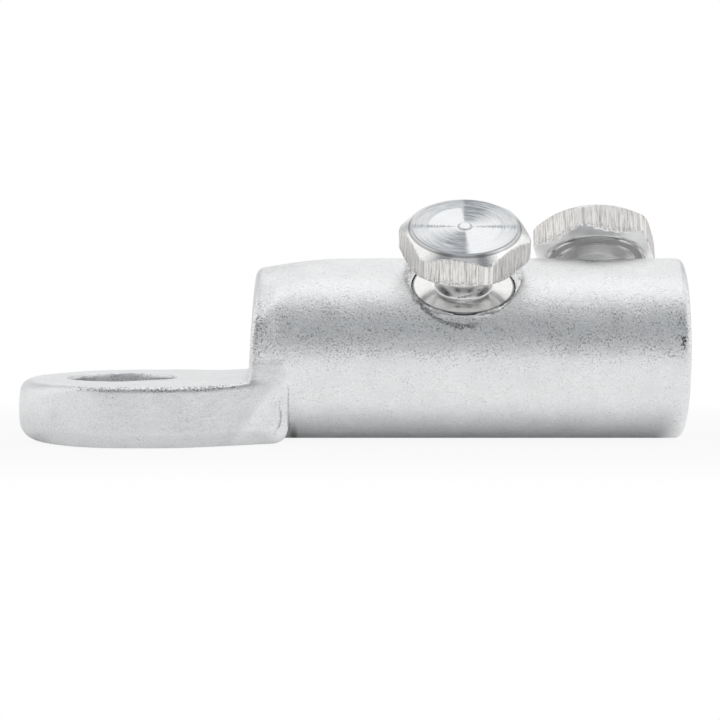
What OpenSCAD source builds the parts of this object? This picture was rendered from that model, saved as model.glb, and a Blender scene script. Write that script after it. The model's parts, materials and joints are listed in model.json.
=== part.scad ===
// Mechanical cable lug: one forged body with a drilled palm and a bored barrel, and two shear bolts.
// Sizes are in millimetres. X runs along the barrel towards the cable and Z is up.
// The origin is the centre of the palm hole on the underside of the palm.

/* [Palm] */
// Width of the palm across its parallel sides
palm_w = 33; // [30:0.5:36]
// Thickness of the palm
palm_t = 8.5; // [7.5:0.25:9.5]
// Distance from the hole centre to the rounded tip of the palm
tip_reach = 14.2; // [13:0.2:16]
// Diameter of the hole for the terminal stud
hole_d = 15; // [10.5:0.5:16]
// Rounding radius of both rims of the hole
hole_round = 0.4; // [0.3:0.1:1.4]
// Rounding radius of the palm's upper edge
edge_top = 1; // [0.5:0.25:2.5]
// Rounding radius of the palm's lower edge
edge_low = 2.2; // [1:0.2:2.6]

/* [Shoulder] */
// Distance from the hole centre to where the palm starts to narrow
taper_x = 8; // [6:0.5:10]
// Distance from the hole centre to the forged step beside the barrel
step_x = 23.5; // [22:0.5:26]
// How far the sides at the step stay inside the barrel's diameter
step_inset = 0.25; // [0.1:0.05:0.5]
// How far the upright shoulder walls stop below the barrel's axis
wall_drop = 1; // [0.5:0.25:2]

/* [Barrel] */
// Outside diameter of the barrel
barrel_d = 25; // [24:0.5:28]
// Distance from the hole centre to the foot of the barrel's palm end
foot_x = 18.1; // [17:0.1:19]
// Lean of the barrel's palm end from upright, in degrees
end_lean = 2.8; // [1:0.2:5]
// Radius in the corner between the palm and the barrel's palm end
foot_fillet = 1; // [0.6:0.1:1.5]
// Distance from the hole centre to the cable end
cable_x = 77.6; // [76:0.2:84]
// Rounding radius of the outer rim at the cable end
rim_round = 0.8; // [0.4:0.1:1.2]
// Distance from the palm end over which the crown falls away
fall_len = 16.2; // [12:0.2:18]
// Drop of the crown at the palm end
fall = 1.6; // [0.8:0.1:2]

/* [Cable bore] */
// Diameter of the cable bore
bore_d = 15.5; // [13:0.5:16]
// Depth of the cable bore to the start of its drill point
bore_depth = 49.5; // [46:0.5:52]
// Chamfer at the mouth of the bore
mouth_chamfer = 0.6; // [0.3:0.1:1]
// Length of the plain land behind the mouth chamfer
mouth_land = 3.5; // [3:0.1:3.6]
// Number of grip grooves behind the land
groove_count = 9; // [4:1:9]
// Spacing of the grip grooves
groove_pitch = 5; // [4:0.1:5]
// Width of a grip groove
groove_w = 1.2; // [0.8:0.1:1.6]
// Depth of a grip groove
groove_deep = 0.4; // [0.2:0.1:0.6]

/* [Shear bolts] */
// Distance from the cable end to the rear bolt
rear_setback = 11.3; // [11.2:0.1:12]
// Spacing of the two bolts along the barrel
bolt_pitch = 19.1; // [18.5:0.1:20]
// Lean of each bolt from upright, one to either side, in degrees
bolt_lean = 30; // [20:1:35]
// Major diameter of the bolt thread
thread_d = 14; // [12:0.5:14]
// Length of the threaded shank
shank_len = 8; // [6:0.5:8.5]
// Chamfer on the tip of the shank
tip_chamfer = 1; // [0.5:0.1:1.5]
// Width of the hexagon across its flats
hex_af = 16; // [15:0.5:17]
// How far the corners of the hexagon are turned down
corner_cut = 0.3; // [0.1:0.05:0.5]
// Height of the hexagon head
head_h = 5.2; // [4.8:0.1:6]
// Diameter of the flat ring on both ends of the head
head_flat_d = 14.4; // [13.5:0.1:14.6]
// Slope of the head's chamfers, in degrees
head_chamfer = 35; // [25:1:40]
// Length of the shear neck between head and shank
neck_len = 4.2; // [3.4:0.1:4.4]
// Smallest diameter of the shear neck
waist_d = 7.2; // [6.6:0.2:8]
// Radius of the hollow turned into the shear neck
neck_hollow = 3.3; // [3.2:0.1:3.8]
// Height of the waist above the shank
waist_h = 1.2; // [1:0.1:1.5]
// Diameter of the turning nub on top of the head
nub_d = 1.7; // [1:0.1:2.5]
// Height of the turning nub
nub_h = 0.15; // [0.1:0.05:0.3]
// Gap between the front bolt's head and the crown of the barrel
front_gap = 1.9; // [1.8:0.1:2.5]
// Gap between the rear bolt's head and the crown of the barrel
rear_gap = 1.05; // [0.8:0.05:2]
// Turn of the front hexagon about its own axis, in degrees
front_turn = 49; // [0:1:59]
// Turn of the rear hexagon about its own axis, in degrees
rear_turn = 15; // [0:1:59]

/* [Threaded holes] */
// Radial clearance between the threaded hole and the shank
thread_clear = 0.1; // [0.05:0.05:0.15]
// Diameter of the spot face sunk round each bolt hole
sink_d = 15.7; // [15:0.1:17]
// How far the spot face lies below the crown
sink_deep = 2.1; // [1.6:0.1:2.4]

/* [Hidden] */
$fn = 96;
barrel_r = barrel_d / 2;
bore_r = bore_d / 2;
axis_z = barrel_r;
tip_x = palm_w / 2 - tip_reach;
step_half = barrel_r - step_inset;
taper_a = atan((palm_w / 2 - step_half) / (step_x - taper_x));
wall_top = axis_z - wall_drop;
hole_r = hole_d / 2;
thread_r = thread_d / 2;
bolt_hole_r = thread_r + thread_clear;
bore_end_x = cable_x - bore_depth;
rear_x = cable_x - rear_setback;
front_x = rear_x - bolt_pitch;
drill_half_angle = 59;
drill_point = bore_r / tan(drill_half_angle);
crown_x = foot_x + fall_len;
fall_r = fall_len * fall_len / (2 * fall);
crown_ease = 2.2;
fall_tube_r = barrel_r + crown_ease;
crown_lift = 0.03;
rim_sink = 0.05;
hex_r = hex_af / 2 / cos(30);
head_flat_r = head_flat_d / 2;
waist_r = waist_d / 2;
neck_top_r = waist_r + neck_hollow - sqrt(pow(neck_hollow, 2) - pow(neck_len - waist_h, 2));
lap = 1;
far = 200;

// Outline of the palm across its width, rounded along both sides.
module palm_section(w) {
    half = w / 2;
    translate([-half, edge_low])
        square([w, palm_t - edge_low - edge_top]);
    translate([-half + edge_low, 0])
        square([w - 2 * edge_low, palm_t - edge_top]);
    translate([-half + edge_top, edge_low])
        square([w - 2 * edge_top, palm_t - edge_low]);
    for (side = [-1, 1]) {
        translate([side * (half - edge_low), edge_low])
            circle(edge_low);
        translate([side * (half - edge_top), palm_t - edge_top])
            circle(edge_top);
    }
}

// Half of the palm outline, turned about the tip centre for the rounded end.
module palm_half_section() {
    intersection() {
        palm_section(palm_w);
        square([palm_w, palm_t]);
    }
}

// Outline of the shoulder under the barrel: upright walls with only their lower edges rounded.
module shoulder_section(w) {
    half = w / 2;
    translate([-half, edge_low])
        square([w, wall_top - edge_low]);
    translate([-half + edge_low, 0])
        square([w - 2 * edge_low, wall_top]);
    for (side = [-1, 1])
        translate([side * (half - edge_low), edge_low])
            circle(edge_low);
}

// Straight bar along X from start to the forged step, with its outline as the child.
module bar_to_step(start) {
    translate([start, 0, 0])
        rotate([90, 0, 90])
            linear_extrude(step_x - start)
                children();
}

// Common part of two long bars, each laid along one narrowing edge of the palm.
module between_tapers() {
    intersection_for (side = [0, 1])
        mirror([0, side, 0])
            translate([taper_x, -palm_w / 2, 0])
                rotate([0, 0, taper_a])
                    translate([-far / 2, palm_w, 0])
                        rotate([90, 0, 90])
                            linear_extrude(far)
                                children();
}

module palm_blank() {
    translate([tip_x, 0, 0])
        rotate([0, 0, 90])
            rotate_extrude(angle = 180)
                palm_half_section();
    intersection() {
        bar_to_step(tip_x)
            palm_section(palm_w);
        between_tapers()
            palm_section(2 * palm_w);
    }
}

// Walls that carry the palm's narrowing sides up into the sides of the barrel.
module shoulder_blank() {
    intersection() {
        bar_to_step(foot_x)
            shoulder_section(palm_w);
        between_tapers()
            shoulder_section(2 * palm_w);
    }
}

// Turns a shape about the barrel axis; the sketch has radius across and distance along X upwards.
module about_barrel() {
    translate([0, 0, axis_z])
        rotate([90, 0, 90])
            rotate_extrude()
                children();
}

module barrel_blank() {
    start = foot_x - 2 * foot_fillet;
    about_barrel() {
        translate([0, start])
            square([barrel_r, cable_x - rim_round - start]);
        translate([0, start])
            square([barrel_r - rim_round, cable_x - start]);
        translate([barrel_r - rim_round, cable_x - rim_round])
            circle(rim_round);
    }
}

// Cheeks above the walls: a cone round the barrel that flares at the angle of the palm's sides.
module cheek_blank() {
    flare = (step_x - foot_x) * tan(taper_a);
    intersection() {
        about_barrel()
            polygon([[0, foot_x], [step_half + flare, foot_x], [step_half, step_x], [0, step_x]]);
        translate([0, -palm_w / 2, palm_t / 2])
            cube([far, palm_w, barrel_d]);
    }
}

// Space above the palm, ending at the leaning palm end of the barrel with a filleted foot.
module palm_clearance() {
    top = 2 * barrel_d;
    centre = [foot_x + foot_fillet * tan(end_lean) - foot_fillet / cos(end_lean), palm_t + foot_fillet];
    touch = centre + foot_fillet * [cos(end_lean), -sin(end_lean)];
    rise = top - palm_t;
    translate([0, palm_w, 0])
        rotate([90, 0, 0])
            linear_extrude(2 * palm_w) {
                polygon([[-palm_w, palm_t], [centre[0], palm_t], centre, touch,
                         [foot_x + rise * tan(end_lean), top], [-palm_w, top]]);
                translate(centre)
                    circle(foot_fillet);
            }
}

// Sliver shaved off the crown so that it falls away towards the palm.
module crown_fall() {
    difference() {
        translate([foot_x - lap, -palm_w / 2, axis_z])
            cube([fall_len + lap, palm_w, barrel_d]);
        translate([crown_x, 0, barrel_d + crown_lift - fall_r])
            rotate([90, 0, 0])
                rotate_extrude($fn = 360)
                    translate([fall_r - fall_tube_r, 0])
                        circle(fall_tube_r);
    }
}

// Hole for the terminal stud; its rims are rounded a little past the faces to leave a clean edge.
module stud_hole() {
    rim_r = hole_r + hole_round;
    dip = hole_round - rim_sink;
    rotate_extrude()
        difference() {
            translate([0, -lap])
                square([rim_r, palm_t + 2 * lap]);
            translate([rim_r, dip])
                circle(hole_round);
            translate([rim_r, palm_t - dip])
                circle(hole_round);
            translate([hole_r, dip])
                square([2 * hole_round, palm_t - 2 * dip]);
        }
}

module cable_bore() {
    about_barrel() {
        polygon([[0, bore_end_x - drill_point], [bore_r, bore_end_x], [bore_r, cable_x - mouth_chamfer],
                 [bore_r + mouth_chamfer + lap, cable_x + lap], [0, cable_x + lap]]);
        for (i = [0 : groove_count - 1])
            translate([0, cable_x - mouth_chamfer - mouth_land - groove_w - i * groove_pitch])
                square([bore_r + groove_deep, groove_w]);
    }
}

// Places a shape on a bolt axis, with its Z measured outwards from the barrel axis.
module on_bolt_axis(x, lean) {
    translate([x, 0, axis_z])
        rotate([lean, 0, 0])
            children();
}

module bolt_hole() {
    cylinder(h = barrel_d, r = bolt_hole_r);
    translate([0, 0, barrel_r - sink_deep])
        cylinder(h = sink_deep + lap, d = sink_d);
}

module lug_body() {
    color("silver")
        difference() {
            union() {
                palm_blank();
                barrel_blank();
                shoulder_blank();
                cheek_blank();
            }
            palm_clearance();
            crown_fall();
            stud_hole();
            cable_bore();
            on_bolt_axis(front_x, bolt_lean)
                bolt_hole();
            on_bolt_axis(rear_x, -bolt_lean)
                bolt_hole();
        }
}

// One shear bolt standing on its shank, Z = 0 at the underside of the head.
module shear_bolt(turn) {
    tip_z = -neck_len - shank_len;
    rim_r = hex_r - corner_cut;
    chamfer_h = (rim_r - head_flat_r) * tan(head_chamfer);
    rotate_extrude()
        polygon([[0, tip_z], [thread_r - tip_chamfer, tip_z], [thread_r, tip_z + tip_chamfer],
                 [thread_r, -neck_len], [0, -neck_len]]);
    rotate_extrude()
        difference() {
            translate([0, -neck_len - lap / 2])
                square([neck_top_r, neck_len + lap]);
            translate([waist_r + neck_hollow, waist_h - neck_len])
                circle(neck_hollow);
        }
    intersection() {
        rotate([0, 0, turn])
            cylinder(h = head_h, r = hex_r, $fn = 6);
        rotate_extrude()
            polygon([[0, 0], [head_flat_r, 0], [rim_r, chamfer_h], [rim_r, head_h - chamfer_h],
                     [head_flat_r, head_h], [0, head_h]]);
    }
    translate([0, 0, head_h - nub_h])
        cylinder(h = 2 * nub_h, r = nub_d / 2);
}

module front_shear_bolt() {
    color("lightgray")
        on_bolt_axis(front_x, bolt_lean)
            translate([0, 0, barrel_r + front_gap])
                shear_bolt(front_turn);
}

module rear_shear_bolt() {
    color("lightgray")
        on_bolt_axis(rear_x, -bolt_lean)
            translate([0, 0, barrel_r + rear_gap])
                shear_bolt(rear_turn);
}

lug_body();
front_shear_bolt();
rear_shear_bolt();
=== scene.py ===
import json
from math import atan2, cos, pi, radians, sin, sqrt, tan

import bpy
import numpy as np
from mathutils import Matrix, Vector


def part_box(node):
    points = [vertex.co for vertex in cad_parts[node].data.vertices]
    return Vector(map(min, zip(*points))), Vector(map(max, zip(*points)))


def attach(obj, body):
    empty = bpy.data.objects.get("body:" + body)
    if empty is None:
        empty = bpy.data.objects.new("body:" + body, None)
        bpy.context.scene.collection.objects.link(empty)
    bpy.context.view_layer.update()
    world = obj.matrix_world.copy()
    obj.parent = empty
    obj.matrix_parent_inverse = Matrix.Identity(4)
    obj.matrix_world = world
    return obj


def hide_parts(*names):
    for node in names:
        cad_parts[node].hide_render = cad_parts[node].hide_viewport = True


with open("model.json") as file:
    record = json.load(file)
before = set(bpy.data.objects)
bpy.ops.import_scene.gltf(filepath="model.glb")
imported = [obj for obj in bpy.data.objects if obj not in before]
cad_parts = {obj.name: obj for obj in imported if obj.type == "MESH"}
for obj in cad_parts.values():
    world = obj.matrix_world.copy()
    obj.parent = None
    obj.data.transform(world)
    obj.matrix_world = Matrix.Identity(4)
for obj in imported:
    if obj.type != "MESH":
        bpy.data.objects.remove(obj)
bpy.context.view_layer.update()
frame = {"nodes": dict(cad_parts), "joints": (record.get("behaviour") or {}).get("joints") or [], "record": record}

# Sizes that the frame gives, in millimetres like all sizes below
MM = 0.001
mounts = {mount["name"]: mount["dims"] for mount in frame["record"]["mounts"]}
body_low, body_high = (np.array(corner_highlight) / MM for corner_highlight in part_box("lug_body"))
tip_end, cable_x = body_low[0], body_high[0]
palm_half = body_high[1]
barrel_d = body_high[2]
barrel_r = barrel_d / 2
axis_z = barrel_r
stud_r = mounts["palm_hole"]["r_mm"]
bore_r = mounts["cable_mouth"]["r_mm"]

# Sizes of the palm
palm_t = 8.5
tip_centre = tip_end + palm_half
tip_from, tip_full = -2.0, -11.0
tip_bulge, tip_round = 0.5, 1.4
edge_top, edge_low = 0.6, 2.2
worn_width, worn_drop = 8.0, 0.2
rise_x, top_rise = 10.5, 0.5
stud_round = 0.4

# Sizes of the narrowing sides and the forged step
taper_x = 8.0
bend_ease = 0.8
step_x = 23.5
step_half = barrel_r - 0.25
step_round = 0.3
taper = atan2(palm_half - step_half, step_x - taper_x)
low_lift, low_width = 0.5, 6.0
wall_top = axis_z - 1.0
facet_low, facet_high = (15.8, 0.5), (22.6, 9.5)
facet_slope, facet_ease = 0.09, 0.12

# Sizes of the barrel, its falling crown and its end over the palm
foot_x = 18.1
end_lean = radians(2.8)
end_round = 1.0
rim_round = 0.9
fall, fall_len = 1.6, 16.2
crown_x = foot_x + fall_len
crown_ease = 0.3
fall_tube_r = barrel_r + 2.2
cheek_ease, shoulder_ease = 0.1, 0.15
foot_fillet, fillet_side_share = 1.3, 0.25
fillet_z, fillet_x, fillet_inset = (5, 7.5), (foot_x + 3, foot_x + 1), (-0.2, -3)

# Sizes of the forging's shallow dents, and of the faces of its skin
dent_depth, dent_count, dent_seed = 0.07, 7, 7
dent_short, dent_long = 5, 12
dent_clear = 1.5
skin_cell = 0.34
relax_rounds, settle_rounds = 4, 3

# Sizes of the cable bore and the bolt holes
bore_depth, bore_from_x = 49.5, 20
drill_half_angle, drill_point_r = radians(59), 0.05
mouth_chamfer, mouth_land = 0.6, 3.5
groove_count, groove_pitch, groove_w = 9, 5.0, 1.2
groove_deep, groove_flank = 0.4, 0.1
bolt_hole_r = 7.1
spot_r, spot_deep = 7.85, 2.1
spot_level = barrel_r - spot_deep
spot_roll, rim_roll, rim_tuck = 0.35, 0.45, 0.08
lap = 1.0

# Sizes of a shear bolt, measured along its own axis from the underside of its head
hex_af = 16.0
hex_r = hex_af / 2 / cos(pi / 6)
hex_blunt = 0.3
tear_top, tear_low, tear_blur = 0.08, 0.14, (0.2, 0.3, 0.3, 0.2)
head_h = 5.2
head_flat_r = 7.2
head_chamfer = tan(radians(35))
edge_break = 0.1
nub_r, nub_h, nub_clear = 0.85, 0.15, 1.3
nub_profile = ((0.25, 0.7), (0.6, 1.0), (0.9, 0.85), (1.0, 0.0))
facing_r, facing_dip = 4.65, 0.03
facing_gap, facing_step = 0.08, 0.012
neck_len, neck_hollow = 4.2, 3.3
neck_lip, neck_gap, neck_foot = 0.12, 0.3, 0.35
waist_r, waist_h = 3.6, 1.2
burr_h, burr_w, burr_low = 0.16, 0.1, 0.1
burr_from, burr_to, burr_rise = radians(-156), radians(-102), 0.85
thread_r, thread_pitch, thread_deep = 7.0, 1.5, 0.8
thread_root, thread_flank, thread_steps = 1.25, 2.8, 12
lead_from, lead_len = 0.6, 1.2
shank_len, shank_break, shank_gap = 8.0, 0.12, 0.2
tip_chamfer, tip_core_r = 1.0, 0.5
bolt_turns = {"front_shear_bolt": radians(49), "rear_shear_bolt": radians(15)}

# Edges sharper than this many degrees stay sharp in the shading
body_smooth, bolt_smooth = 35, 18

# Tool scuffs beside the bolts: the bolt, the distance from its axis, and where the scuff starts and ends
scuffs = (("front_shear_bolt", 8.5, -7.0, 1.5), ("rear_shear_bolt", 8.5, -3.0, 1.2))


def bolt_axis(node):
    """Where a bolt's axis leaves the barrel's axis, where its head starts, and its direction."""
    travel = next(joint for joint in frame["joints"] if joint["child"] == node)
    axis = Vector(travel["axis"]).normalized()
    low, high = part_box(node)
    foot = Vector(((low.x + high.x) / 2, 0, axis_z * MM))
    top = max((vertex.co - foot).dot(axis) for vertex in frame["nodes"][node].data.vertices)
    return foot, foot + axis * (top - (head_h + nub_h) * MM), axis


bolt_axes = {node: bolt_axis(node) for node in bolt_turns}


def ramp(value, start, end):
    """Soft step from 0 at start to 1 at end."""
    t = np.clip((value - start) / (end - start), 0, 1)
    return t * t * (3 - 2 * t)


def rounded(a, b, r):
    """Common part of two forms, with the edge between them rounded to radius r."""
    outside = np.hypot(np.maximum(a + r, 0), np.maximum(b + r, 0))
    return outside + np.minimum(np.maximum(a, b) + r, 0) - r


def filleted(a, b, r):
    """Two forms joined, with the corner between them filleted to radius r."""
    return -rounded(-a, -b, r)


def eased(a, b, ease):
    """Common part of two forms that meet at a shallow angle, with a soft bend between them."""
    near = np.maximum(ease - np.abs(a - b), 0)
    return np.maximum(a, b) + near * near / (4 * ease)


def joined(a, b, ease):
    """Two forms joined, with a soft bend where they meet at a shallow angle."""
    return -eased(-a, -b, ease)


def past_facet(x, z):
    """Distance past the edge of the slanted facet, along the palm's side, for points or for a finish."""
    run, rise = facet_high[0] - facet_low[0], facet_high[1] - facet_low[1]
    return ((x - facet_low[0]) * rise - (z - facet_low[1]) * run) / sqrt(run * run + rise * rise)


def narrowing_form(x, y, z):
    """Distance to the narrowing sides, with the die's slanted facet above the foot of the step."""
    plain = (x - taper_x) * sin(taper) + (np.abs(y) - palm_half) * cos(taper)
    return eased(plain, plain + facet_slope * past_facet(x, z), facet_ease)


def underside(x, y, z):
    """Distance below the underside, which lifts a little along the narrowing sides."""
    inset = np.clip(1 + narrowing_form(x, y, z) / low_width, 0, 1)
    return low_lift * ramp(x, taper_x, step_x) * inset ** 2 - z


def palm_form(x, y, z):
    """Distance to the palm: round bulged tip, narrowing sides, worn upper edge and the forged step."""
    sides = np.hypot(np.minimum(x - tip_centre, 0), y) - palm_half
    at_tip = ramp(x, tip_from, tip_full)
    bulge = tip_bulge * at_tip * (2 * z / palm_t - 1) ** 2
    border = eased(sides + bulge, narrowing_form(x, y, z), bend_ease)
    worn = worn_drop * np.clip(1 + border / worn_width, 0, 1) ** 2
    rise = top_rise * np.clip((x - rise_x) / (foot_x - rise_x), 0, 1) ** 2
    outline = rounded(border, x - step_x, step_round)
    upper_edge = edge_top + (tip_round - edge_top) * at_tip
    return rounded(rounded(outline, z - palm_t + worn - rise, upper_edge), underside(x, y, z), edge_low)


def barrel_form(x, y, z):
    """Distance to the barrel with its cheeks, shoulder walls, falling crown and leaning palm end."""
    out = np.hypot(y, z - axis_z)
    tube = rounded(out - barrel_r, x - cable_x, rim_round)
    cheeks = (out - step_half) * cos(taper) - (step_x - x) * sin(taper)
    cheeks = np.maximum(cheeks, palm_t / 2 - z)
    narrowing = narrowing_form(x, y, z)
    walls = rounded(rounded(narrowing, x - step_x, step_round), underside(x, y, z), edge_low)
    walls = np.maximum(walls, z - wall_top)
    flared = np.maximum(joined(cheeks, walls, cheek_ease), x - step_x)
    shoulder = joined(tube, flared, shoulder_ease)
    drop = fall * (np.maximum(crown_x - x, 0) / fall_len) ** 2
    crown = np.hypot(y, z - (barrel_d - drop - fall_tube_r)) - fall_tube_r
    palm_end = (foot_x + (z - palm_t) * tan(end_lean) - x) * cos(end_lean)
    return rounded(eased(shoulder, crown, crown_ease), palm_end, end_round)


def forging_dents(x, y, z):
    """Shallow unevenness of the forged and tumbled skin, always inwards."""
    draw = np.random.default_rng(dent_seed)
    waves = 0
    for _ in range(dent_count):
        heading = draw.normal(size=3)
        heading *= 2 * pi / draw.uniform(dent_short, dent_long) / np.linalg.norm(heading)
        start = draw.uniform(0, 2 * pi)
        waves = waves + np.sin(heading[0] * x + heading[1] * y + heading[2] * z + start)
    return dent_depth * np.clip(0.5 + waves / dent_count, 0, 1) * ramp(z, 0, dent_clear)


def bolt_hole_forms(node, x, y, z):
    """Room of the spot face round a bolt hole, and of the hole, a little narrower than it is cut later."""
    foot, _, axis = bolt_axes[node]
    along = y * axis.y + (z - axis_z) * axis.z
    out = np.sqrt(np.maximum((x - foot.x / MM) ** 2 + y ** 2 + (z - axis_z) ** 2 - along ** 2, 0))
    return np.minimum(spot_r - out, along - spot_level), np.minimum(bolt_hole_r - rim_tuck - out, along)


def body_form(x, y, z):
    """Distance to the whole forging, before the bolt holes and the cable bore are cut."""
    inner = ramp(narrowing_form(x, y, z), *fillet_inset)
    flow = foot_fillet * ramp(z, *fillet_z) * ramp(x, *fillet_x)
    flow = flow * (fillet_side_share + (1 - fillet_side_share) * inner)
    blank = filleted(palm_form(x, y, z), barrel_form(x, y, z), flow)
    blank = rounded(blank, stud_r - np.hypot(x, y), stud_round)
    for node in bolt_turns:
        spot_face, hole = bolt_hole_forms(node, x, y, z)
        blank = rounded(rounded(blank, spot_face, spot_roll), hole, rim_roll)
    return np.maximum(blank + forging_dents(x, y, z), -z)


def slope_of(form, points, step=0.02):
    """Gradient of a form at points."""
    columns = []
    for axis in range(3):
        shift = np.zeros(3)
        shift[axis] = step
        ahead = form(*(points + shift).T)
        behind = form(*(points - shift).T)
        columns.append((ahead - behind) / (2 * step))
    return np.stack(columns, axis=1)


def pull_onto(form, points, least_steep=0.05):
    """Moves points onto the surface of a form along its gradient."""
    slope = slope_of(form, points)
    steep = np.maximum((slope ** 2).sum(axis=1), least_steep)
    return points - slope * (form(*points.T) / steep)[:, None]


def skin_of(form, low, high, cell):
    """Even quad skin of a form: one point in each grid cell that the surface crosses, pulled onto it."""
    margin = 2.5 * cell
    axes = [np.arange(a - margin, b + margin, cell) for a, b in zip(low, high)]
    inside = form(*np.meshgrid(*axes, indexing="ij", sparse=True)) < 0
    long, wide, tall = (count - 1 for count in inside.shape)
    corners = sum(
        inside[i:long + i, j:wide + j, k:tall + k].astype(int)
        for i in (0, 1) for j in (0, 1) for k in (0, 1)
    )
    crossed = (corners > 0) & (corners < 8)
    number = np.full(crossed.shape, -1)
    number[crossed] = np.arange(crossed.sum())
    points = (np.argwhere(crossed) + 0.5) * cell + [axis[0] for axis in axes]

    quads = []
    for axis in range(3):
        first = np.take(inside, np.arange(inside.shape[axis] - 1), axis)
        second = np.take(inside, np.arange(1, inside.shape[axis]), axis)
        edges = np.argwhere(first != second)
        leaving = first[tuple(edges.T)]
        across, over = np.eye(3, dtype=int)[(axis + 1) % 3], np.eye(3, dtype=int)[(axis + 2) % 3]
        ring = [edges, edges - across, edges - across - over, edges - over]
        loop = np.stack([number[tuple(cells.T)] for cells in ring], axis=1)
        quads.append(np.where(leaving[:, None], loop, loop[:, ::-1]))
    quads = np.concatenate(quads)

    sides = np.concatenate([quads[:, [i, (i + 1) % 4]] for i in range(4)])
    for _ in range(relax_rounds):
        points = pull_onto(form, points)
        total = np.zeros_like(points)
        count = np.zeros(len(points))
        np.add.at(total, sides[:, 0], points[sides[:, 1]])
        np.add.at(count, sides[:, 0], 1)
        points = 0.5 * points + 0.5 * total / count[:, None]
    for _ in range(settle_rounds):
        points = pull_onto(form, points)
    return points, quads


def make_mesh(name, points, faces):
    """Mesh from points in millimetres."""
    mesh = bpy.data.meshes.new(name)
    mesh.from_pydata((np.asarray(points) * MM).tolist(), [], [list(map(int, face)) for face in faces])
    mesh.validate()
    return mesh


def make_piece(name, mesh):
    piece = bpy.data.objects.new(name, mesh)
    bpy.context.scene.collection.objects.link(piece)
    return piece


def turned_mesh(name, rings, angles):
    """Closed mesh turned about Z, from the radius and height of every ring at every angle."""
    ring_count, step_count = rings.shape[:2]
    radius, height = rings[..., 0], rings[..., 1]
    points = np.stack([radius * np.cos(angles), radius * np.sin(angles), height], axis=2).reshape(-1, 3)
    top, low = len(points), len(points) + 1
    poles = [[0, 0, height[0].mean()], [0, 0, height[-1].mean()]]
    here = np.arange(step_count)
    after = (here + 1) % step_count
    faces = [(top, a, b) for a, b in zip(here, after)]
    for ring in range(ring_count - 1):
        start, below = ring * step_count, (ring + 1) * step_count
        faces += [(start + b, start + a, below + a, below + b) for a, b in zip(here, after)]
    last = (ring_count - 1) * step_count
    faces += [(low, last + b, last + a) for a, b in zip(here, after)]
    return make_mesh(name, np.concatenate([points, poles]), faces)


def plain_rings(profile, steps=192):
    """Rings of a round profile, and their angles."""
    angles = np.linspace(0, 2 * pi, steps, endpoint=False)
    return np.repeat(np.array(profile, float)[:, None, :], steps, axis=1), angles


def bolt_seat(node):
    """Matrices that lean a shape onto a bolt's axis, from the barrel's axis and from the head's underside."""
    foot, head_low, axis = bolt_axes[node]
    lean = Matrix.Rotation(atan2(-axis.y, axis.z), 4, "X")
    return Matrix.Translation(foot) @ lean, Matrix.Translation(head_low) @ lean


def cut_out(piece, cutters):
    """Cuts the cutters out of a piece and removes them."""
    for cutter in cutters:
        cut = piece.modifiers.new("cut", "BOOLEAN")
        cut.operation = "DIFFERENCE"
        cut.solver = "EXACT"
        cut.object = cutter
    bpy.context.view_layer.update()
    solid = piece.evaluated_get(bpy.context.evaluated_depsgraph_get())
    mesh = bpy.data.meshes.new_from_object(solid)
    piece.modifiers.clear()
    blank, piece.data = piece.data, mesh
    bpy.data.meshes.remove(blank)
    for cutter in cutters:
        bpy.data.meshes.remove(cutter.data)


def bolt_hole_cutter(node):
    """Bolt hole from the barrel's axis outwards."""
    profile = [(bolt_hole_r, barrel_r + lap), (bolt_hole_r, 0)]
    cutter = make_piece("bolt_hole", turned_mesh("bolt_hole", *plain_rings(profile)))
    cutter.matrix_world = bolt_seat(node)[0]
    return cutter


def cable_bore_cutter():
    """Grooved cable bore; heights are measured from the cable end into the barrel."""
    profile = [(bore_r + mouth_chamfer + lap, lap), (bore_r, -mouth_chamfer)]
    for i in range(groove_count):
        start = -mouth_chamfer - mouth_land - i * groove_pitch
        end = start - groove_w
        profile += [(bore_r, start), (bore_r + groove_deep, start - groove_flank)]
        profile += [(bore_r + groove_deep, end + groove_flank), (bore_r, end)]
    profile += [(bore_r, -bore_depth), (drill_point_r, -bore_depth - bore_r / tan(drill_half_angle))]
    cutter = make_piece("cable_bore", turned_mesh("cable_bore", *plain_rings(profile)))
    cutter.matrix_world = Matrix.Translation((cable_x * MM, 0, axis_z * MM)) @ Matrix.Rotation(pi / 2, 4, "Y")
    return cutter


def smooth_by_angle(mesh, degrees):
    mesh.shade_smooth()
    mesh.set_sharp_from_angle(angle=radians(degrees))


def mark_machined_faces(mesh):
    """Gives the bored and spot-faced surfaces the machined finish."""
    centres = np.zeros(len(mesh.polygons) * 3)
    mesh.polygons.foreach_get("center", centres)
    centres = centres.reshape(-1, 3) / MM
    x, y, z = centres.T
    near = 0.06
    cut = (np.hypot(y, z - axis_z) < bore_r + mouth_chamfer + near) & (x > bore_from_x)
    for node in bolt_turns:
        inverse = np.array(bolt_seat(node)[0].inverted())
        local = centres @ inverse[:3, :3].T + inverse[:3, 3] / MM
        out = np.hypot(local[:, 0], local[:, 1])
        cut |= (out < bolt_hole_r + near) & (local[:, 2] > 0)
        cut |= (out < spot_r - 2 * near) & (local[:, 2] > spot_level - near)
    mesh.polygons.foreach_set("material_index", cut.astype(np.int32))


def build_body(tumbled, machined):
    """The forging: a skin over its form, with the bolt holes and the cable bore cut out."""
    points, quads = skin_of(body_form, body_low, body_high, skin_cell)
    body = make_piece("forged_body", make_mesh("forged_body", points, quads))
    cut_out(body, [bolt_hole_cutter(node) for node in bolt_turns] + [cable_bore_cutter()])
    smooth_by_angle(body.data, body_smooth)
    body.data.materials.append(tumbled)
    body.data.materials.append(machined)
    mark_machined_faces(body.data)
    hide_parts("lug_body")
    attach(body, "lug_body")


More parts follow.
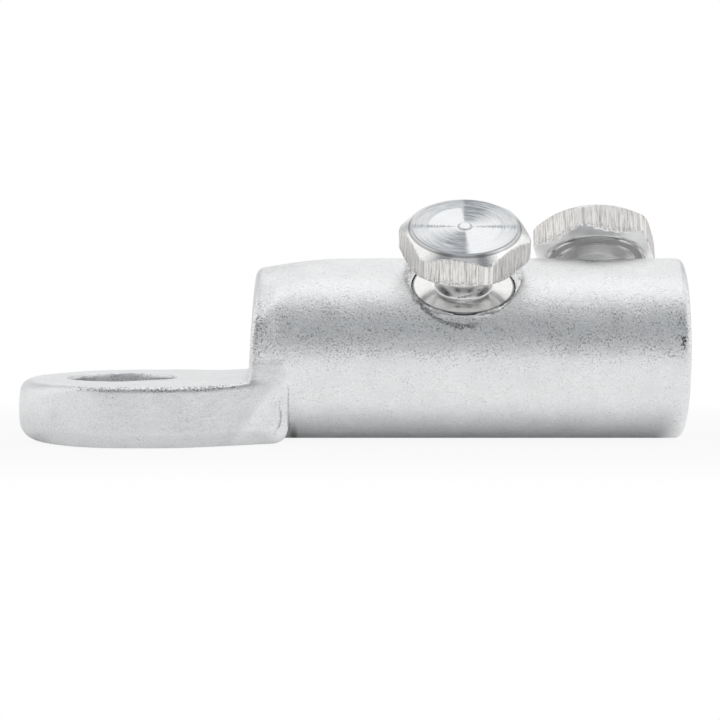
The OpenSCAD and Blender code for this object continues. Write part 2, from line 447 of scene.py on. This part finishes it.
def hex_angles(per_flat=40):
    """Angles round the hexagon, closer together at its corners."""
    u = np.linspace(-1, 1, per_flat, endpoint=False)
    spread = 0.5 * u + 0.5 * np.sin(u * pi / 2)
    sector = pi / 6 * spread
    return np.concatenate([sector + pi / 6 + i * pi / 3 for i in range(6)])


def torn_edge(draw, steps, depth):
    """Uneven height along an edge of the flats, where the chamfering tool tore the metal."""
    return np.convolve(draw.normal(0, depth, steps + len(tear_blur)), tear_blur, "valid")[:steps]


def bolt_rings(seed):
    """Rings of a shear bolt from the nub on its head down to its tip, their angles and their finishes."""
    draw = np.random.default_rng(seed)
    angles = hex_angles()
    steps = len(angles)
    flat_r = hex_af / 2 / np.cos((angles % (pi / 3)) - pi / 6)
    hex_edge = np.minimum(flat_r, hex_r - hex_blunt)
    torn_top = torn_edge(draw, steps, tear_top)
    torn_low = torn_edge(draw, steps, tear_low)
    even = np.ones(steps)
    rings = []
    kinds = []

    def ring(radius, height, kind):
        rings.append(np.stack([radius * even, height * even], axis=1))
        kinds.append(kind)

    # Nub and top face
    wobble = 1 + 0.12 * np.sin(2 * angles + 0.7) + 0.08 * np.sin(5 * angles + 2)
    for share, lift in nub_profile:
        ring(nub_r * share * wobble, head_h + nub_h * lift, "faced")
    for radius in np.linspace(nub_r * nub_clear, facing_r, 12):
        ring(radius, head_h - facing_dip * (1 - radius / facing_r), "faced")
    for radius in np.linspace(facing_r + facing_gap, head_flat_r - edge_break, 9):
        ring(radius, head_h - facing_step, "faced")

    # Upper chamfer, flats and lower chamfer
    chamfer_start = head_flat_r + edge_break
    for share in np.linspace(0, 1, 6):
        radius = chamfer_start + (hex_edge - edge_break - chamfer_start) * share
        ring(radius, head_h - (radius - head_flat_r) * head_chamfer, "turned" if share else "faced")
    flat_top = head_h - (hex_edge - head_flat_r) * head_chamfer - edge_break + torn_top
    flat_low = (hex_edge - head_flat_r) * head_chamfer + edge_break + torn_low
    for share in np.linspace(0, 1, 8):
        ring(hex_edge, flat_top + (flat_low - flat_top) * share, "drawn")
    for share in np.linspace(0, 1, 6):
        radius = hex_edge - edge_break + (chamfer_start - hex_edge + edge_break) * share
        ring(radius, (radius - head_flat_r) * head_chamfer, "turned")

    # Flat ring under the head, and the shear neck with its burr and foot
    waist_z = waist_h - neck_len
    hollow_r = waist_r + neck_hollow
    neck_top_r = hollow_r - sqrt(neck_hollow ** 2 - waist_z ** 2)
    for radius in np.linspace(head_flat_r - edge_break, neck_top_r + neck_gap, 4):
        ring(radius, 0, "turned")
    along_burr = ((angles + pi) % (2 * pi) - pi - burr_from) / (burr_to - burr_from)
    burr = burr_h * ramp(along_burr, 0, 0.1) * ramp(along_burr, 1, 0.8)
    burr_z = neck_foot - neck_len - burr_low + burr_rise * along_burr
    for height in np.linspace(-neck_lip, neck_foot - neck_len, 40):
        neck_r = hollow_r - sqrt(neck_hollow ** 2 - (height - waist_z) ** 2)
        ring(neck_r + burr * np.exp(-((height - burr_z) / burr_w) ** 2), height, "turned")
    for turn in np.linspace(0, pi / 2, 7)[1:]:
        ring(neck_r + neck_foot * (1 - cos(turn)), neck_foot * (1 - sin(turn)) - neck_len, "turned")

    # Shank and its thread
    for radius in np.linspace(neck_r + neck_foot + shank_gap, thread_r - shank_break, 6):
        ring(radius, -neck_len, "turned")
    tip_z = -neck_len - shank_len
    past_tip = 0.01
    for height in np.arange(-neck_len - shank_break, tip_z + past_tip, -thread_pitch / thread_steps):
        turn = (height / thread_pitch - angles / (2 * pi)) % 1
        groove = np.clip(thread_root - np.abs(turn - 0.5) * thread_flank, 0, 1)
        lead = np.clip((-neck_len - height - lead_from) / lead_len, 0, 1)
        crest = np.minimum(thread_r, thread_r - tip_chamfer + (height - tip_z))
        ring(np.minimum(crest, thread_r - thread_deep * groove * lead), height, "turned")
    ring(thread_r - tip_chamfer - shank_gap, tip_z, "turned")
    ring(tip_core_r, tip_z, "turned")
    return np.array(rings), angles, kinds


def build_bolt(node, seed):
    """A shear bolt in its place on the part, with its faced, drawn and turned surfaces."""
    rings, angles, kinds = bolt_rings(seed)
    mesh = turned_mesh(node + "_turned", rings, angles)
    seat = bolt_seat(node)[1] @ Matrix.Rotation(bolt_turns[node], 4, "Z")
    finishes = {
        "faced": faced_metal(seat, bolt_turns[node]),
        "drawn": drawn_metal(seat),
        "turned": turned_metal(seat),
    }
    for finish in finishes.values():
        mesh.materials.append(finish)
    order = list(finishes)
    slots = [order.index(kind) for kind in ["faced"] + kinds[1:] + ["turned"]]
    mesh.polygons.foreach_set("material_index", np.repeat(slots, len(angles)).astype(np.int32))
    mesh.transform(seat)
    mesh.use_auto_texspace = False
    mesh.texspace_location = seat @ Vector((0, 0, head_h * MM))
    mesh.texspace_size = (hex_af * MM,) * 3
    smooth_by_angle(mesh, bolt_smooth)
    bolt = make_piece(node + "_turned", mesh)
    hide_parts(node)
    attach(bolt, node)


class Value:
    """One output socket; arithmetic on it adds Math nodes to its sheet."""

    def __init__(self, sheet, socket):
        self.sheet = sheet
        self.socket = socket

    def __add__(self, other):
        return self.sheet.math("ADD", self, other)

    def __radd__(self, other):
        return self.sheet.math("ADD", other, self)

    def __sub__(self, other):
        return self.sheet.math("SUBTRACT", self, other)

    def __rsub__(self, other):
        return self.sheet.math("SUBTRACT", other, self)

    def __mul__(self, other):
        return self.sheet.math("MULTIPLY", self, other)

    def __rmul__(self, other):
        return self.sheet.math("MULTIPLY", other, self)

    def __truediv__(self, other):
        return self.sheet.math("DIVIDE", self, other)

    def __rtruediv__(self, other):
        return self.sheet.math("DIVIDE", other, self)

    def __pow__(self, other):
        return self.sheet.math("POWER", self, other)

    def __rpow__(self, other):
        return self.sheet.math("POWER", other, self)

    def __abs__(self):
        return self.sheet.math("ABSOLUTE", self)

    def most(self, other):
        """The larger of two values."""
        return self.sheet.math("MAXIMUM", self, other)

    def step(self, start, end):
        """Soft step from 0 at start to 1 at end."""
        sockets = {"Value": self, "From Min": start, "From Max": end}
        return self.sheet.add("ShaderNodeMapRange", {"interpolation_type": "SMOOTHSTEP"}, sockets)

    def within(self, low, high, soft):
        """1 between low and high, fading over soft at either end."""
        return self.step(low - soft, low + soft) * (1 - self.step(high - soft, high + soft))


class NodeSheet:
    """The node tree of one finish."""

    def __init__(self, tree):
        self.tree = tree
        tree.nodes.clear()

    def add(self, kind, settings, sockets, output=0):
        """Adds a node, sets its settings and then its sockets, and returns one of its outputs."""
        node = self.tree.nodes.new(kind)
        for name, setting in settings.items():
            setattr(node, name, setting)
        for key, value in sockets.items():
            if isinstance(value, Value):
                self.tree.links.new(value.socket, node.inputs[key])
            else:
                node.inputs[key].default_value = value
        return Value(self, node.outputs[output]) if len(node.outputs) else None

    def math(self, operation, *operands):
        return self.add("ShaderNodeMath", {"operation": operation}, dict(enumerate(operands)))

    def place(self, seat=None):
        """Place on the part, or on a seat's own axes, in millimetres: the vector and its three values."""
        metres = self.add("ShaderNodeTexCoord", {}, {}, "Object")
        if seat:
            turn = {"Vector": metres, "Location": seat.to_translation(), "Rotation": seat.to_euler()}
            metres = self.add("ShaderNodeMapping", {"vector_type": "TEXTURE"}, turn)
        spot = self.scaled(metres, (1 / MM,) * 3)
        return spot, self.split(spot)

    def split(self, vector):
        """The three values of a vector."""
        return [self.add("ShaderNodeSeparateXYZ", {}, {0: vector}, axis) for axis in range(3)]

    def vector(self, *values):
        return self.add("ShaderNodeCombineXYZ", {}, dict(enumerate(values)))

    def scaled(self, vector, factors):
        return self.add("ShaderNodeVectorMath", {"operation": "MULTIPLY"}, {0: vector, 1: factors})

    def noise(self, vector, scale, detail, rough):
        sockets = {"Vector": vector, "Scale": scale, "Detail": detail, "Roughness": rough}
        return self.add("ShaderNodeTexNoise", {}, sockets)

    def tint(self, share, plain, tinted):
        """Colour between two, by share."""
        return self.add("ShaderNodeMix", {"data_type": "RGBA"}, {0: share, 6: plain, 7: tinted}, 2)

    def relief(self, height, depth):
        """Normal of a relief whose full height is depth millimetres."""
        return self.add("ShaderNodeBump", {}, {"Strength": 1.0, "Distance": depth * MM, "Height": height})

    def metal(self, sockets):
        """Ends the sheet with one metal surface."""
        self.finish(self.add("ShaderNodeBsdfPrincipled", {}, sockets))

    def finish(self, shader):
        self.add("ShaderNodeOutputMaterial", {}, {"Surface": shader})


def new_finish(name):
    material = bpy.data.materials.new(name)
    material.use_nodes = True
    return material, NodeSheet(material.node_tree)


def grey(level, warmth=0.0):
    return (level * (1 + warmth), level, level * (1 - warmth), 1)


def diagonal(a, b):
    """Length across two values at right angles."""
    return (a * a + b * b) ** 0.5


def pit_places(x, y, z):
    """The barrel's flank, and how pits crowd there, at its ends, on the palm's edge and in the stud hole."""
    up = (z - axis_z) / barrel_r
    flank = up.within(-0.05, 0.6, 0.2) * x.step(foot_x - 0.5, foot_x + 1)
    palm_end = x.within(foot_x + 0.6, foot_x + 2.2, 0.8) * up.within(-0.1, 0.5, 0.15)
    from_mouth = abs(x - cable_x + 1.2 + 2.5 * (up - 0.2).most(0))
    mouth_end = (1 - from_mouth.step(0.3, 1.3)) * up.within(0.02, 0.45, 0.1)
    mouth_core = (1 - from_mouth.step(0.1, 0.7)) * up.within(0.04, 0.2, 0.06)
    tip = (tip_centre - x).most(0)
    side = abs(y) + (x - taper_x).most(0) * tan(taper)
    risen = ((x - rise_x) / (foot_x - rise_x)).most(0)
    upper_edge = (z - risen * risen * top_rise).within(palm_t - 0.85, palm_t - 0.1, 0.25)
    edge_run = upper_edge * diagonal(tip, side).step(palm_half - 2.5, palm_half - 1.2)
    edge_run = edge_run * x.within(-6, foot_x - 0.5, 2)
    hole_wall = 1 - (x * x + y * y).step(stud_r ** 2, stud_r ** 2 + 3)
    crowd = (flank * 0.04 + palm_end * 0.08).most(edge_run * 0.13).most(hole_wall * 0.09)
    return flank, crowd.most(mouth_end * 0.1).most(mouth_core * 0.25)


def scuff_beside_bolt(sheet, scuff, drift, fine):
    """Dark scuff that a tool left beside a bolt, and the bright rim of that bolt's spot face, smoother, with its
    colour lightened as a painted highlight.
    """
    node, scuff_r, scuff_from, scuff_to = scuff
    _, (across, over, out) = sheet.place(bolt_seat(node)[0])
    from_axis = diagonal(across, over)
    near_side = (-1 * over).step(2.5, 4.5) * out.step(0, 1)
    line = 1 - abs(from_axis + (drift - 0.5) * 1.2 - scuff_r).step(0.16, 0.36)
    dark = line * near_side * across.within(scuff_from, scuff_to, 1) * fine.step(0.4, 0.52)
    return dark, from_axis.within(7.0, 8.1, 0.15) * out.step(spot_level - 0.7, spot_level)


def tumbled_tin():
    """Tinned skin of the forging: fine grain, pits in drifts and along the palm's upper edge, smudged ends and
    tool scuffs, with painted highlight and shade along the slanted facet, painted shadow at the foot of the step
    and a painted highlight on the rims round the spot faces.
    """
    material, sheet = new_finish("tumbled_tin")
    spot, (x, y, z) = sheet.place()
    grain = sheet.noise(spot, 4.2, 2.0, 0.6)
    fine = sheet.noise(spot, 8.0, 2.0, 0.6)
    drift = sheet.noise(spot, 1.1, 3.0, 0.6)
    mottle = sheet.noise(spot, 0.3, 4.0, 0.6)
    patch = sheet.noise(spot, 0.5, 3.0, 0.6).step(0.38, 0.62)

    # Dark pits and bright glints of the grain
    flank, crowd = pit_places(x, y, z)
    pits = (0.5 - grain + (patch - 0.6) * 0.1 + crowd).step(0.12, 0.2)
    glints = (grain - 0.5 + (patch - 0.5) * 0.06).step(0.06, 0.2)

    # Seam at the step, painted shadow in the corner at the foot of the step, scratches, dirt on the crown and
    # scuffs beside the bolts
    seam_x, seam_bend_z, seam_lean = 22.4, 3.3, 0.47
    seam_line = seam_x - (seam_bend_z - z).most(0) * seam_lean + (drift - 0.5) * 0.7
    seam = (1 - abs(x - seam_line).step(0.04, 0.2)) * z.within(1.6, 6.3, 0.3) * (fine * drift).step(0.2, 0.28)
    step_foot_shadow = x.within(step_x, step_x + 0.9, 0.35) * (1 - z.step(0.5, 3.4))
    stroke = sheet.noise(sheet.scaled(spot, (0.5, 1.0, 2.2)), 1.6, 2.0, 0.5)
    scratches = (1 - abs(stroke - 0.5).step(0.004, 0.014)) * mottle.step(0.48, 0.56) * fine.step(0.42, 0.55)
    crown_dirt = z.step(21, 22.5) * (1 - abs(y + 1.5).step(2, 4.5)) * (1 - x.step(foot_x + 5, foot_x + 13))
    crown_dirt = crown_dirt * (0.4 + 0.6 * drift.step(0.42, 0.58))
    marks_and_shadow = (seam * 0.45).most(step_foot_shadow * 0.7).most(crown_dirt * 0.16).most(scratches * 0.45)
    shine = 0
    for scuff in scuffs:
        dark_line, bright_rim = scuff_beside_bolt(sheet, scuff, drift, fine)
        marks_and_shadow = marks_and_shadow.most(dark_line * 0.95)
        shine = shine + bright_rim

    # Painted highlight along the edge of the slanted facet, with painted shade in the hollow before it
    past = past_facet(x, z)
    on_side = abs(y).step(8, 10) * z.within(0.8, 9.0, 0.6) * x.step(taper_x, taper_x + 4)
    ridge_light_and_shade = (past.within(0.1, 1.5, 0.4) - 0.7 * past.within(-1.4, -0.3, 0.4)) * on_side * drift.step(0.3, 0.5)

    plain = 1 - shine
    cloud = (grain - 0.5) * (0.9 + 1.3 * flank) + (fine - 0.5) * 0.6
    # The shine term lightens the colour on the rims round the spot faces: a painted highlight
    tone = 0.5 + (mottle - 0.5) * 1.1 + cloud * plain + 0.4 * shine + 0.25 * ridge_light_and_shade
    tin = sheet.tint(1 - tone, grey(0.96, -0.006), grey(0.71, -0.008))
    bright = sheet.tint(glints * (0.35 + 0.45 * flank), tin, grey(0.97, -0.006))
    dark = (pits * plain * (0.2 + 0.26 * flank).most(crowd * 5)).most(marks_and_shadow * 0.9)
    bumps = (grain * (0.4 + 0.6 * flank) + fine * 0.2 + drift * 0.8 - seam * 0.5) * plain
    sheet.metal({
        "Base Color": sheet.tint(dark, bright, grey(0.12, -0.03)),
        "Metallic": 1.0,
        "Roughness": 0.28 + 0.14 * mottle + 0.2 * marks_and_shadow - 0.14 * shine,
        "Normal": sheet.relief(bumps, 0.05),
    })
    return material


def machined_bore():
    """Bright bored metal with fine turning lines."""
    material, sheet = new_finish("machined_bore")
    spot, _ = sheet.place()
    patch = sheet.noise(spot, 0.8, 3.0, 0.6)
    lines = sheet.noise(sheet.scaled(spot, (6.0, 1.0, 1.0)), 2.0, 2.0, 0.6)
    sheet.metal({
        "Base Color": sheet.tint(patch, grey(0.86, 0.005), grey(0.74, 0.01)),
        "Metallic": 1.0,
        "Roughness": 0.14 + 0.14 * patch,
        "Normal": sheet.relief(lines, 0.01),
    })
    return material


def faced_metal(seat, turn):
    """Top face of a bolt head, faced on the lathe: fine rings, two dark sectors that are a painted reflection, and
    painted reflection and shade at its outer band, lip and nub.
    """
    material, sheet = new_finish("faced_metal")
    _, (x, y, z) = sheet.place(seat)
    out = diagonal(x, y)
    rings = sheet.noise(sheet.vector(out, z), 3.2, 4.0, 0.75)
    swirl = sheet.noise(sheet.vector(out * 6, x * 0.4, y * 0.4), 1.0, 3.0, 0.6)
    scored = (swirl * 0.6 + rings * 0.4).step(0.35, 0.65)

    # Two dark sectors, opposite each other, which do not turn with the hexagon: a painted reflection, the bow-tie
    # that a faced face shows
    angle = sheet.math("ARCTAN2", y, x) + turn + (swirl - 0.5) * 0.3
    half_turn = sheet.math("FRACT", angle / pi + 4)
    sector = half_turn.step(-0.05, 0.5) * (1 - half_turn.step(0.48, 0.54))
    spoke = 1 - abs(half_turn - 0.5).step(0.455, 0.49)
    bow_tie_reflection = (sector * 0.95).most((1 - spoke) * 0.6) * out.step(0.8, 1.8)

    # Painted reflection: the outer band darker on its far half and the lip of the chamfer darker on its near half;
    # painted shade round the foot of the nub
    sway = sheet.math("SINE", angle)
    outer_band_reflection = out.within(facing_r + 0.3, head_flat_r - 0.1, 0.15) * (0.5 + 0.5 * sway)
    lip_reflection = out.within(head_flat_r - 0.2, head_flat_r + 0.15, 0.08) * (0.6 - 0.4 * sway)
    nub_foot_shade = out.within(nub_r - 0.1, nub_r + 0.2, 0.08)
    dark = (bow_tie_reflection * (0.45 + 0.9 * scored)).most(outer_band_reflection * (0.3 + 0.4 * scored) + scored * 0.07)
    dark = dark.most(lip_reflection * 0.9).most(nub_foot_shade * 0.6)
    sheet.metal({
        "Base Color": sheet.tint(dark, grey(0.97, -0.012), grey(0.3, -0.08)),
        "Metallic": 1.0,
        "Roughness": 0.22 + 0.12 * rings,
        "Anisotropic": 0.95,
        "Anisotropic Rotation": 0.25,
        "Normal": sheet.relief(rings, 0.03),
    })
    return material


def turned_metal(seat):
    """Chamfers, neck and shank turned on the lathe: bright, with fine lines, and duller under the head; painted
    shade darkens the neck, the ring under the head and the shank's rim, and a painted reflection darkens below the
    chamfer's lip.
    """
    material, sheet = new_finish("turned_metal")
    spot, (x, y, z) = sheet.place(seat)
    out = diagonal(x, y)
    lines = sheet.noise(sheet.vector(out, z), 6.0, 3.0, 0.7)
    patch = sheet.noise(spot, 0.9, 4.0, 0.65)
    specks = sheet.noise(spot, 5.0, 3.0, 0.6)
    worn = (patch * 0.5 + specks * 0.5).step(0.46, 0.62) * 0.2

    # Painted shade on the neck, on the ring under the head and in the gap at the rim of the shank, and a painted
    # dark reflection below the lip of the upper chamfer
    neck_shade = z.within(0.3 - neck_len, -0.3, 0.3) * (1 - out.step(waist_r + 0.6, waist_r + 1.2))
    under = z.within(-0.15, 0.15, 0.05) * out.within(5.7, head_flat_r - 0.5, 0.1)
    shank_rim_shade = (z + neck_len).within(-0.6, 0.05, 0.04) * out.step(thread_r - 0.36, thread_r - 0.2)
    lip_reflection_line = out.within(head_flat_r + 0.14, head_flat_r + 0.46, 0.06) * z.step(head_h - 1.0, head_h - 0.6)

    # Dull flare at the top of the neck and dull lower chamfer
    flare = z.within(-1.8, -0.1, 0.2) * (1 - out.step(head_flat_r - 1.4, head_flat_r - 1.2))
    low_face = (1 - z.step(1.6, 2.4)) * out.step(head_flat_r, head_flat_r + 0.1)
    dull = flare.most(low_face)

    # Here the painted shade and painted reflection darken the colour
    dark = (worn.most(neck_shade * 0.6) * (1 - dull)).most(lines.step(0.4, 0.6) * flare * 0.25)
    dark = dark.most(under * 0.3).most(shank_rim_shade).most(lip_reflection_line * (0.4 + 0.6 * lines))
    sheet.metal({
        "Base Color": sheet.tint(dark, grey(0.92, 0.004), grey(0.3, 0.01)),
        "Metallic": 1 - (0.8 * under).most(0.2 * dull),
        "Roughness": 0.06 + 0.1 * lines + 0.2 * under + 0.1 * dull,
        "Normal": sheet.relief(lines * (0.5 + 2 * under + 3 * flare) + specks * 0.1, 0.02),
    })
    return material


def drawn_metal(seat):
    """Flats of the drawn hexagon bar: lines along the bolt's axis, painted highlights along the corners and nicks
    low down.
    """
    material, sheet = new_finish("drawn_metal")
    spot, (x, y, z) = sheet.place(seat)
    lines = sheet.noise(sheet.scaled(spot, (1.0, 1.0, 0.03)), 8.0, 4.0, 0.7)
    streaks = sheet.noise(sheet.scaled(spot, (1.0, 1.0, 0.12)), 2.8, 3.0, 0.6)
    specks = sheet.noise(spot, 3.5, 2.0, 0.5)
    sixth = sheet.math("FRACT", sheet.math("ARCTAN2", y, x) / (pi / 3) + 6)
    # Painted highlight: a thin bright line along each corner of the hexagon
    corner_highlight = abs(sixth - 0.5).within(0.435, 0.465, 0.012)
    nicks = specks.step(0.52, 0.6) * (1 - z.step(1.2, 2.0))
    worn = (lines.step(0.42, 0.62) * 0.7 + streaks.step(0.48, 0.66) * 0.4).most(specks.step(0.62, 0.72) * 0.6)
    drawn = sheet.tint(worn, grey(0.9, 0.02), grey(0.4, 0.04))
    sheet.metal({
        "Base Color": sheet.tint(nicks * 0.5, sheet.tint(corner_highlight, drawn, grey(0.95, 0.01)), grey(0.2, 0.02)),
        "Metallic": 1.0,
        "Roughness": 0.24 + 0.18 * lines,
        "Anisotropic": 0.5,
        "Normal": sheet.relief(lines + streaks * 0.5, 0.04),
    })
    return material


def seen_by(sheet):
    """1 for rays from the camera, and 1 for rays that metal reflects or glass lets through."""
    rays = ("Is Camera Ray", "Is Glossy Ray", "Is Transmission Ray")
    camera, glossy, through = [sheet.add("ShaderNodeLightPath", {}, {}, ray) for ray in rays]
    return camera, glossy.most(through)


def build_floor():
    """Pale floor under the lug, white where the camera sees it, which keeps the shadow."""
    floor_half = 4.0
    corners = [(i * floor_half, j * floor_half, 0) for i, j in ((-1, -1), (1, -1), (1, 1), (-1, 1))]
    mesh = bpy.data.meshes.new("floor")
    mesh.from_pydata(corners, [], [(0, 1, 2, 3)])
    floor = make_piece("floor", mesh)
    material, sheet = new_finish("pale_floor")
    _, (x, y, _) = sheet.place()
    middle, half = (tip_end + cable_x) / 2, (cable_x - tip_end) / 2
    past_end = abs(x - middle) - half
    clear = diagonal(past_end.most(0), (abs(y) - barrel_r).most(0))
    camera, glossy = seen_by(sheet)
    # The glow that the metal sees in the floor fades near the lug and more beside the palm: a painted shadow in
    # its reflections
    by_palm = (1 - x.step(step_x - 3, step_x)) * (1 - abs(y).step(18, 30))
    open_floor = abs(y).step(3.5, 14).most(past_end.step(-4, 1)) * (1 - 0.5 * by_palm)
    share = (camera * (0.9 + 0.1 * clear.step(2, 50))).most(glossy * (0.1 + 0.83 * open_floor))
    pale = sheet.add("ShaderNodeBsdfDiffuse", {}, {"Color": grey(0.88)})
    white = sheet.add("ShaderNodeEmission", {}, {"Color": grey(1.0), "Strength": 1.0})
    sheet.finish(sheet.add("ShaderNodeMixShader", {}, {0: share, 1: pale, 2: white}))
    mesh.materials.append(material)


def build_surround():
    """White backdrop for the camera; the metal sees white panels with a dim room between them."""
    world = bpy.data.worlds.new("studio")
    bpy.context.scene.world = world
    world.use_nodes = True
    world.cycles.sampling_method = "NONE"
    sheet = NodeSheet(world.node_tree)
    right, back, up = sheet.split(sheet.add("ShaderNodeTexCoord", {}, {}, "Generated"))
    strip = 1 - abs(right).step(0.2, 0.42)
    side_walls = abs(right).step(0.42, 0.55) * (1 - back.step(0.45, 0.65))
    horizon = 1 - up.step(0.2, 0.45)
    panels = strip.most(side_walls).most(horizon)
    front = (0.2 * abs(right) - back).step(0.25, 0.75) * (1 - 0.5 * abs(right).step(0.48, 0.62))
    posts = abs(right).within(0.22, 0.45, 0.06)
    haze = 0.3 * back.step(0.5, 0.9) * (1 - abs(up).step(0.05, 0.35))
    shown = (0.6 + 0.4 * panels) * (1 - front) + (0.51 - 0.3 * posts) * front - haze
    room_level, cool_share = 0.55, 0.02
    camera, glossy = seen_by(sheet)
    level = camera + (1 - camera) * (glossy * shown + (1 - glossy) * room_level)
    cool = (1 - level) * cool_share
    colour = sheet.add("ShaderNodeCombineColor", {}, {0: level - cool, 1: level, 2: level + cool})
    background = sheet.add("ShaderNodeBackground", {}, {"Color": colour, "Strength": 1.0})
    sheet.add("ShaderNodeOutputWorld", {}, {"Surface": background})


def area_lamp(name, place, aim, size, power):
    light = bpy.data.lights.new(name, "AREA")
    light.shape = "RECTANGLE"
    light.size, light.size_y = size
    light.energy = power
    lamp = bpy.data.objects.new(name, light)
    bpy.context.scene.collection.objects.link(lamp)
    lamp.location = place
    lamp.rotation_euler = (Vector(aim) - Vector(place)).to_track_quat("-Z", "Y").to_euler()


def build_lamps():
    """Two soft lamps, with places, aims and sizes in metres and power in watts."""
    area_lamp("overhead_softbox", (0.25, -0.08, 0.55), (0.25, -0.08, 0), (0.62, 0.36), 0.15)
    area_lamp("side_softbox", (0.45, -0.3, 0.45), (0.032, 0, 0.012), (0.3, 0.3), 0.06)


def build_camera():
    """Camera at the photograph's place, in front of the lug and looking slightly down."""
    aim = Vector((0.0331, 0, 0.0108))
    distance, pitch = 0.335, radians(4.0)
    camera = bpy.data.objects.new("camera", bpy.data.cameras.new("camera"))
    bpy.context.scene.collection.objects.link(camera)
    camera.data.sensor_width = 36
    camera.data.lens = 120.6
    camera.location = aim + Vector((0, -cos(pitch), sin(pitch))) * distance
    camera.rotation_euler = (pi / 2 - pitch, 0, 0)
    camera.data.clip_start = 0.01
    bpy.context.scene.camera = camera


build_camera()
build_body(tumbled_tin(), machined_bore())
for seed, node in enumerate(bolt_turns, start=1):
    build_bolt(node, seed)
build_floor()
build_surround()
build_lamps()
bpy.context.scene.view_settings.view_transform = "Standard"
